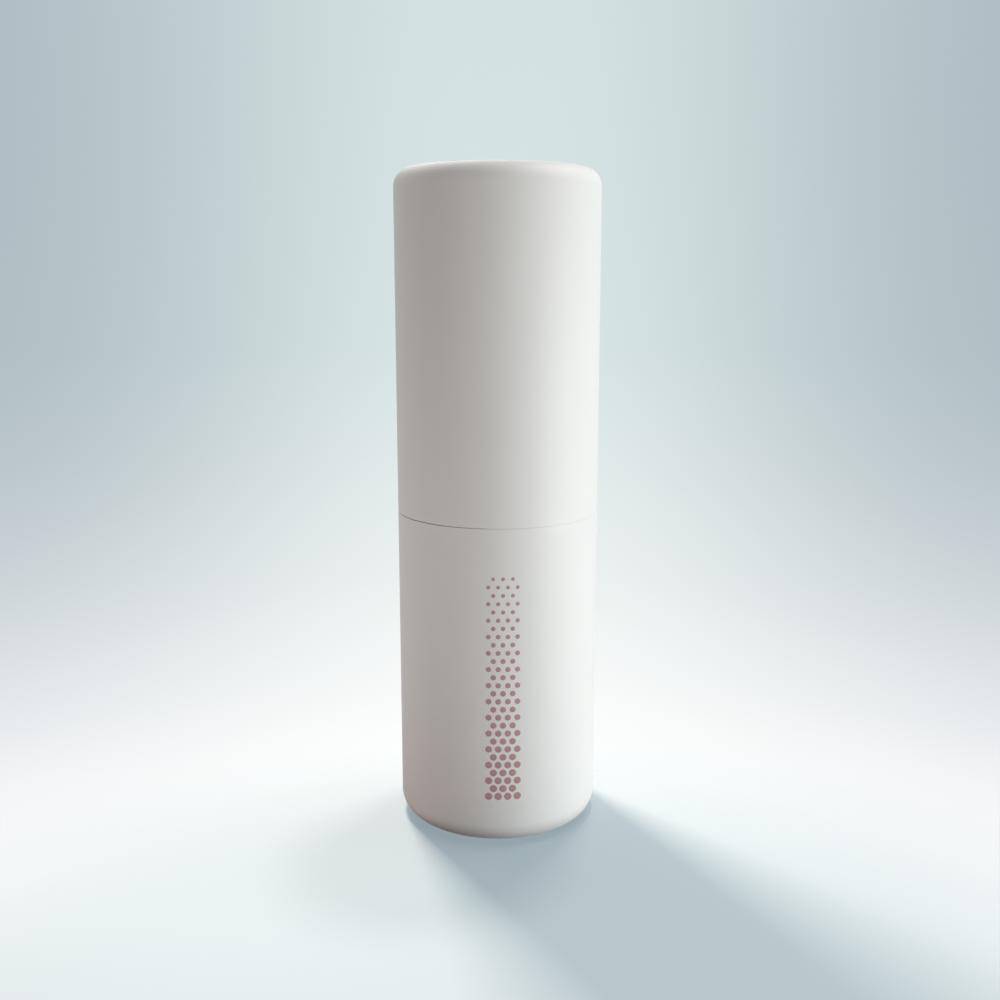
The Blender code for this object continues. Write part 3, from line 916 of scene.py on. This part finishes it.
def soft_step(value, start, end):
    """0 before start and 1 after end, with a soft change between."""
    ends = {"Value": value, "From Min": start, "From Max": end}
    return value.add("ShaderNodeMapRange", {"interpolation_type": "SMOOTHSTEP"}, ends)


def blend(share, first, second, way="MIX"):
    """A colour between two colours, or with MULTIPLY the first one tinted by the second."""
    colours = {0: share, COLOUR_A: first, COLOUR_B: second}
    return share.add("ShaderNodeMix", {"data_type": "RGBA", "blend_type": way}, colours, COLOUR_OUT)


def bump(height, depth):
    """Surface normals for a relief of the given depth in metres."""
    return height.add("ShaderNodeBump", {}, {"Height": height, "Distance": depth}, "Normal")


# %% [markdown]
# Making a finish
#
# A finish starts as Blender's Principled surface. What is the same all over is set on the
# surface's own sockets. What changes over the piece is linked: colour, roughness, metal or normal.

# %% Start a finish and put it on
SOCKETS = {
    "colour": "Base Color",
    "roughness": "Roughness",
    "metallic": "Metallic",
    "normal": "Normal",
}


def finish(name, **fixed):
    """A Principled material, and the point of the surface to build its pattern from."""
    material = bpy.data.materials.new(name)
    material.use_nodes = True
    surface = material.node_tree.nodes["Principled BSDF"]
    for socket, value in fixed.items():
        surface.inputs[socket].default_value = value
    return material, surface, place_on(material.node_tree)


def feed(surface, **wires):
    """Links what changes over the surface: colour, roughness, metallic or normal."""
    for word, wire in wires.items():
        wire.tree.links.new(wire.socket, surface.inputs[SOCKETS[word]])


def dress(material, *pieces):
    """Gives the pieces their finish."""
    for piece in pieces:
        piece.data.materials.clear()
        piece.data.materials.append(material)
        print(f"{piece.name} wears {material.name}")


# %% [markdown]
# Satin white
#
# The shells are moulded in opaque white against an etched mould, which leaves a grain finer than
# a tenth of a millimetre and a soft, wide highlight. The white is a touch warm. The edges that
# meet at the seam are handled and pulled past each other, so they are a little smoother.

# %% Satin white for base and cap
SATIN_GRAIN = 0.09 * MM
SATIN_DEPTH = 0.0012 * MM
RUBBED_FULLY = 0.2 * MM
RUBBED_UP_TO = 1.6 * MM


def satin_white():
    material, surface, where = finish("satin_white")
    cloud = noise(where, 9 * MM)
    grain = noise(where, SATIN_GRAIN, 3.0)
    height = parts_of(where)[2]
    rubbed = 1 - soft_step(abs(height - SEAM), RUBBED_FULLY, RUBBED_UP_TO)
    feed(
        surface,
        colour=blend(cloud, (0.855, 0.852, 0.842, 1), (0.872, 0.869, 0.860, 1)),
        roughness=0.52 + 0.05 * cloud + 0.04 * grain - 0.06 * rubbed,
        normal=bump(grain, SATIN_DEPTH),
    )
    return material


dress(satin_white(), case_base, case_cap)

# %% [markdown]
# Rose ink
#
# Pad-print ink is matt and not quite even: the pad leaves it thinner in places, where the white
# below lightens it. A blend of two roses by a fine noise is enough to stop it looking like a
# sticker.

# %% Rose ink for the print
def rose_ink():
    material, surface, where = finish("rose_ink")
    patch = noise(where, 0.5 * MM, 3.0)
    grain = noise(where, SATIN_GRAIN, 2.0)
    feed(
        surface,
        colour=blend(patch, (0.50, 0.285, 0.305, 1), (0.56, 0.335, 0.355, 1)),
        roughness=0.50 + 0.10 * grain,
        normal=bump(grain, SATIN_DEPTH / 2),
    )
    return material


dress(rose_ink(), base_print)

# %% [markdown]
# Natural white plastic
#
# The linings are moulded without pigment, so they are milkier and a little yellower than the
# shells, and smooth as the polished core that they are pulled off. Pulling leaves the faintest
# upright drag lines, which a fine noise drawn out along Z gives.

# %% Natural white for the linings
DRAG_LINE = 0.15 * MM
DRAG_DEPTH = 0.001 * MM
ALONG_Z = (1, 1, 0.04)


def natural_white():
    milky = {"Subsurface Weight": 0.06, "Subsurface Scale": 1 * MM}
    material, surface, where = finish("natural_white", **milky)
    lines = noise(scaled(where, ALONG_Z), DRAG_LINE)
    cloud = noise(where, 6 * MM)
    feed(
        surface,
        colour=blend(cloud, (0.80, 0.80, 0.765, 1), (0.84, 0.84, 0.81, 1)),
        roughness=0.30 + 0.08 * lines + 0.04 * cloud,
        normal=bump(lines, DRAG_DEPTH),
    )
    return material


dress(natural_white(), base_lining, cap_lining)

# %% [markdown]
# White acetal
#
# Tube, cup and cam slide on each other, so they are acetal: dense, slippery and bright white, with
# a waxy gloss. Flow from the gate leaves pale swirls, and the cut core leaves fine rings.

# %% Acetal for tube, cup and cam
SWIRL = 5 * MM
CORE_RING = 0.08 * MM
CORE_DEPTH = 0.0008 * MM
ACROSS_Z = (0.03, 0.03, 1)


def white_acetal():
    material, surface, where = finish("white_acetal")
    swirled = {"Vector": where, "Scale": 1 / SWIRL, "Distortion": 1.5}
    swirl = where.add("ShaderNodeTexNoise", {}, swirled)
    rings = noise(scaled(where, ACROSS_Z), CORE_RING)
    feed(
        surface,
        colour=blend(swirl, (0.86, 0.86, 0.83, 1), (0.90, 0.90, 0.885, 1)),
        roughness=0.24 + 0.08 * rings + 0.05 * swirl,
        normal=bump(rings, CORE_DEPTH),
    )
    return material


dress(white_acetal(), inner_tube, lift_cup, twist_cam)

# %% [markdown]
# Satin aluminium
#
# The collar is turned while it is polished, then etched and anodised, so its lines run round it.
# Lines that run round can only change with the height on the wall and with the radius on the lip.
# The sum of the two serves both, and a slow noise keeps each line from being perfect.

# %% Satin aluminium for the collar
TURNED_LINE = 0.05 * MM
TURNED_DEPTH = 0.0012 * MM
ROUND_SHARE = 0.02


def satin_aluminium():
    material, surface, where = finish("satin_aluminium", Metallic=1.0)
    x, y, z = parts_of(where)
    reach = distance_to(ORIGIN, scaled(where, (1, 1, 0)))
    wound = {"X": ROUND_SHARE * x, "Y": ROUND_SHARE * y, "Z": z + reach}
    lines = noise(where.add("ShaderNodeCombineXYZ", {}, wound), TURNED_LINE, 4.0)
    cloud = noise(where, 4 * MM)
    feed(
        surface,
        colour=blend(lines, (0.76, 0.76, 0.775, 1), (0.83, 0.83, 0.84, 1)),
        roughness=0.22 + 0.10 * lines + 0.04 * cloud,
        normal=bump(lines, TURNED_DEPTH),
    )
    return material


dress(satin_aluminium(), collar)

# %% [markdown]
# Zinc-plated steel and silicone
#
# The slug is tumbled and zinc plated: grey, with brighter and duller spangles and a trace of blue.
# The ring is clear silicone, which looks pale grey in a thin section and catches dust.

# %% Zinc for the slug, silicone for the ring
SPANGLE = 0.8 * MM
SCUFF = 0.12 * MM
SCUFF_DEPTH = 0.003 * MM
DUST = 0.10 * MM
CLEAR_UP_TO = 0.60
DUSTY_FROM = 0.72


def zinc_plate():
    material, surface, where = finish("zinc_plate", Metallic=1.0)
    tone = parts_of(cells(where, SPANGLE))[0]
    scuffs = noise(where, SCUFF, 4.0)
    feed(
        surface,
        colour=blend(tone, (0.53, 0.54, 0.56, 1), (0.60, 0.61, 0.615, 1)),
        roughness=0.32 + 0.10 * tone + 0.10 * scuffs,
        normal=bump(scuffs, SCUFF_DEPTH),
    )
    return material


def clear_silicone():
    clear = {"Transmission Weight": 0.35, "IOR": 1.41}
    material, surface, where = finish("clear_silicone", **clear)
    dust = soft_step(noise(where, DUST), CLEAR_UP_TO, DUSTY_FROM)
    feed(
        surface,
        colour=blend(dust, (0.74, 0.76, 0.76, 1), (0.66, 0.66, 0.65, 1)),
        roughness=0.22 + 0.20 * dust,
    )
    return material


dress(zinc_plate(), foot_slug)
dress(clear_silicone(), twist_ring)

# %% [markdown]
# Pearl balm
#
# The stick is wax full of mica. Mica is flat flakes a tenth of a millimetre across: most lie
# buried and only soften the colour, and a few lie at the surface and flash. A cell pattern gives
# each flake its own random number, which decides how metallic it is, how light and how tilted.

# %% Pearl for the stick
FLAKE = 0.11 * MM
FLAKE_DEPTH = 0.004 * MM
DULL_UP_TO = 0.62
BRIGHT_FROM = 0.95


def pearl_balm():
    waxy = {"Subsurface Weight": 0.08, "Subsurface Scale": 1.2 * MM}
    material, surface, where = finish("champagne_pearl", **waxy)
    chance, tilt, warmth = parts_of(cells(where, FLAKE))
    flash = soft_step(chance, DULL_UP_TO, BRIGHT_FROM)
    cloud = noise(where, 2.2 * MM, 3.0)
    wax = blend(cloud, (0.83, 0.62, 0.515, 1), (0.89, 0.70, 0.60, 1))
    mica = blend(warmth, (0.96, 0.83, 0.74, 1), (0.97, 0.90, 0.80, 1))
    feed(
        surface,
        colour=blend(0.75 * flash, wax, mica),
        roughness=0.42 - 0.16 * flash + 0.06 * cloud,
        metallic=0.55 * flash,
        normal=bump(0.7 * tilt + 0.3 * cloud, FLAKE_DEPTH),
    )
    return material


dress(pearl_balm(), balm_stick)

# %% [markdown]
# The floor
#
# The case stands on a white sheet that has no visible end: further back it melts into a pale
# backdrop. The sheet here is a round disc whose opacity falls off with the distance from the case.
# Seen from below it isn't there at all, so the foot of the case can be looked at, and right under
# the foot it lets light through, so the recess of the foot isn't black. The floor in the
# photograph is never quite dark, even in the shadow: part of what the camera sees is a cool haze.
# What the sheet throws back at the case is set apart from how it looks, as painted bounce light:
# its colour for that light is painted lighter on the right, where the photograph has the foot
# bright, and darker on the left, where the foot is dusky.

# %% A floor that fades out
FLOOR_RADIUS = 300 * MM
POOL_MIDDLE = (0, -42 * MM, 0)
FLOOR_FADE_START = 36 * MM
FLOOR_FADE_END = 74 * MM
FLOOR_DROP = 0.02 * MM
FOOT_LIGHT_START = 9.0 * MM
FOOT_LIGHT_END = 10.4 * MM
FLOOR_SEEN = (0.34, 0.40, 0.416, 1)
# Painted bounce light and shade: the sheet's colour for light it throws back, darker on the left
# and lighter on the right.
PAINTED_BOUNCE_LEFT = (0.10, 0.09, 0.09, 1)
PAINTED_BOUNCE_RIGHT = (0.22, 0.26, 0.27, 1)
BOUNCE_TURNS_OVER = 10 * MM
FLOOR_HAZE = (0.47, 0.60, 0.66, 1)
HAZE_SHARE = 0.5


def end_tree(shader, kind):
    """Links a finished shader to the output node of its tree."""
    node = shader.tree.nodes.new(kind)
    shader.tree.links.new(shader.socket, node.inputs["Surface"])


def floor_sheet():
    """A round sheet just under the foot."""
    sheet = bmesh.new()
    bmesh.ops.create_circle(
        sheet,
        cap_ends=True,
        segments=MEDIUM,
        radius=FLOOR_RADIUS,
        matrix=Matrix.Translation((0, 0, -FLOOR_DROP)),
    )
    made = piece_from("floor_sheet", sheet)
    return made


def floor_paint():
    """What the sheet looks like, and how it fades."""
    material = bpy.data.materials.new("floor_paint")
    material.use_nodes = True
    tree = material.node_tree
    tree.nodes.clear()
    where = place_on(tree)
    far = soft_step(distance_to(POOL_MIDDLE, where), FLOOR_FADE_START, FLOOR_FADE_END)
    from_below = where.add("ShaderNodeNewGeometry", {}, {}, "Backfacing")
    looked_at = where.add("ShaderNodeLightPath", {}, {}, "Is Camera Ray")
    under_foot = 1 - soft_step(distance_to(ORIGIN, where), FOOT_LIGHT_START, FOOT_LIGHT_END)
    open_below = where.maths("MAXIMUM", from_below, under_foot * (1 - looked_at))
    gone = where.maths("MAXIMUM", far, open_below)
    # Painted bounce light and shade, lighter towards the right.
    toward_right = soft_step(parts_of(where)[0], -BOUNCE_TURNS_OVER, BOUNCE_TURNS_OVER)
    painted_bounce = blend(toward_right, PAINTED_BOUNCE_LEFT, PAINTED_BOUNCE_RIGHT)
    paint = blend(looked_at, painted_bounce, FLOOR_SEEN)
    matt = where.add("ShaderNodeBsdfDiffuse", {}, {"Color": paint})
    haze = where.add("ShaderNodeEmission", {}, {"Color": FLOOR_HAZE})
    lit = where.add("ShaderNodeMixShader", {}, {0: HAZE_SHARE * looked_at, 1: matt, 2: haze})
    clear = where.add("ShaderNodeBsdfTransparent", {}, {})
    fading = where.add("ShaderNodeMixShader", {}, {0: gone, 1: lit, 2: clear})
    end_tree(fading, "ShaderNodeOutputMaterial")
    return material


floor = floor_sheet()
floor.data.materials.append(floor_paint())
print(f"floor fades from {FLOOR_FADE_START / MM:.0f} to {FLOOR_FADE_END / MM:.0f} mm")

# %% [markdown]
# The backdrop
#
# Behind the case hangs a pale blue-grey backdrop that runs down into white. It is painted on the
# world by direction: a ramp by height, tinted darker towards the sides of each of the four main
# views, and less so where it is white. The camera sees it, and so do metal and clear silicone.
# Everything else is lit by an even glow, so the painting changes nothing on the case but what it
# mirrors. Straight down it turns pale blue again, so that a white case still stands out against it
# from high above.

# %% Paint the world
AMBIENT = (0.335, 0.311, 0.297, 1)


def seen(red, green, blue):
    """A colour given as it looks on a screen, from 0 to 255, turned into light."""
    return tuple(((c / 255 + 0.055) / 1.055) ** 2.4 for c in (red, green, blue)) + (1,)


# How far up or down the ray goes, from -1 to 1, and the colour seen there.
BACKDROP = (
    (-1.0, (218, 229, 233)),
    (-0.75, (231, 239, 242)),
    (-0.52, (254, 255, 255)),
    (-0.385, (255, 255, 255)),
    (-0.24, (236, 242, 241)),
    (-0.06, (217, 229, 229)),
    (0.25, (210, 224, 225)),
)
LOWEST, HIGHEST = BACKDROP[0][0], BACKDROP[-1][0]
SIDE_TINT = (0.63, 0.66, 0.71, 1)
SIDE_START = 0.05
SIDE_FULL = 0.80
UNTINTED_UP_TO = -0.545
TINTED_FROM = -0.10


def backdrop_ramp(share):
    """The colours of the backdrop, from straight down at 0 to its top at 1."""
    ramp = share.add("ShaderNodeValToRGB", {}, {"Fac": share})
    colours = ramp.socket.node.color_ramp
    for _ in range(len(BACKDROP) - 2):
        colours.elements.new(0.5)
    for element, (up, colour) in zip(colours.elements, BACKDROP):
        element.position = (up - LOWEST) / (HIGHEST - LOWEST)
        element.color = seen(*colour)
    return ramp


world = bpy.data.worlds.new("backdrop")
world.use_nodes = True
bpy.context.scene.world = world
sky = world.node_tree
sky.nodes.clear()
direction = Wire(sky).add("ShaderNodeTexCoord", {}, {}, "Generated")
x, y, z = parts_of(direction)
share = (z - LOWEST) / (HIGHEST - LOWEST)
aside = soft_step(2 * abs(x * y), SIDE_START, SIDE_FULL)
aside = aside * soft_step(z, UNTINTED_UP_TO, TINTED_FROM)
paint = blend(aside, backdrop_ramp(share), SIDE_TINT, "MULTIPLY")
rays = direction.add("ShaderNodeLightPath", {}, {}).socket.node.outputs
looked_at = Wire(sky, rays["Is Camera Ray"]) + Wire(sky, rays["Is Glossy Ray"])
looked_at = looked_at + Wire(sky, rays["Is Transmission Ray"])
painted = direction.add("ShaderNodeBackground", {}, {"Color": paint})
glow = direction.add("ShaderNodeBackground", {}, {"Color": AMBIENT})
both = direction.add("ShaderNodeMixShader", {}, {0: looked_at, 1: glow, 2: painted})
end_tree(both, "ShaderNodeOutputWorld")
print("backdrop painted")

# %% [markdown]
# The lamps
#
# A soft panel on the right makes that side of the case nearly white and leaves the left in a
# quiet grey. Two high panels, behind on the right and on the left, draw the bright line round
# the crown and light its right corner. A weak panel close on the left lifts the middle of the
# wall, which in the photograph is lighter than its two ends. Each lamp is placed by its bearing,
# height and distance from the middle of the case, in degrees and millimetres, and points there.
# Then come its size in millimetres, its strength and its colour. A strength of 1 lights the side
# that faces the lamp as brightly as an even white sky would.

# %% Hang the lamps
LAMP_TARGET = Vector((0, 0, 35 * MM))


def soft_lamp(name, bearing, height, distance, size, strength, colour=(1, 1, 1)):
    """A panel aimed at the case. Bearing 0 is at the camera's side and 90 on the right."""
    light = bpy.data.lights.new(name, "AREA")
    light.shape = "RECTANGLE"
    light.size = size[0] * MM
    light.size_y = size[1] * MM
    light.energy = strength * (math.pi * distance * MM) ** 2
    light.color = colour
    lamp = bpy.data.objects.new(name, light)
    a = math.radians(bearing)
    e = math.radians(height)
    away = Vector((math.sin(a) * math.cos(e), -math.cos(a) * math.cos(e), math.sin(e)))
    lamp.location = LAMP_TARGET + away * (distance * MM)
    lamp.rotation_euler = away.to_track_quat("Z", "Y").to_euler()
    lamp.visible_camera = False
    bpy.context.scene.collection.objects.link(lamp)
    print(f"{name}: {light.energy:.2f} W at {distance} mm")
    return lamp


soft_lamp("right_panel", 65, -5, 150, (120, 30), 0.585, (0.93, 1.0, 1.0))
soft_lamp("crown_right_panel", 100, 62, 200, (80, 80), 0.40)
soft_lamp("crown_left_panel", 212, 46, 200, (160, 60), 0.32, (1.0, 0.97, 0.94))
soft_lamp("left_panel", -58, -12, 60, (30, 10), 0.085)

# %% [markdown]
# The shadows on the floor
#
# The floor in the photograph has two shadows. A deep one fans out to the front right, from a
# small, strong light behind the case on the left. A faint, short one lies to the front left, from
# a light that hangs almost overhead. Those lights would wash out the case, so here they fall on
# the floor alone: light linking gives a lamp a list of what it lights, while everything still
# casts a shadow in it. Both are warm, because the floor's haze is cool.

# %% Light the floor
floor_only = bpy.data.collections.new("floor_only")
floor_only.objects.link(floor)
shadow_lamp = soft_lamp("shadow_lamp", 208, 55, 160, (30, 30), 3.75, (1.0, 0.80, 0.70))
high_lamp = soft_lamp("high_lamp", 150, 78, 300, (30, 30), 0.90, (1.0, 0.85, 0.82))
for lamp in (shadow_lamp, high_lamp):
    lamp.light_linking.receiver_collection = floor_only
